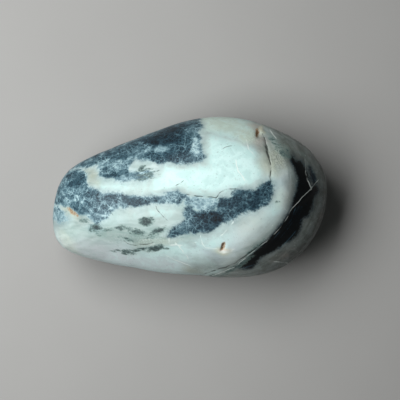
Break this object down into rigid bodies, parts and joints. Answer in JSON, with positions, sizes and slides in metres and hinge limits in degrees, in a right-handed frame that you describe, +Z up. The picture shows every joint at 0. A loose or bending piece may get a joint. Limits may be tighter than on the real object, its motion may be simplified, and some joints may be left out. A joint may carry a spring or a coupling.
{
  "type": "jade cobble",
  "caption": "Smooth egg-shaped cobble of pale jade with dark bands, lying on a small flat spot of its broad underside.",
  "frame": {"origin": "on the resting surface, under the middle of the stone's bounding box", "axes": "+X along the length towards the broad end, +Y across, +Z up out of the flat spot"},
  "size_m": [0.1498, 0.088, 0.0625],
  "materials": {
    "jade": "polished"
  },
  "bodies": {
    "root": {"jade_stone": "jade"}
  },
  "joints": []
}
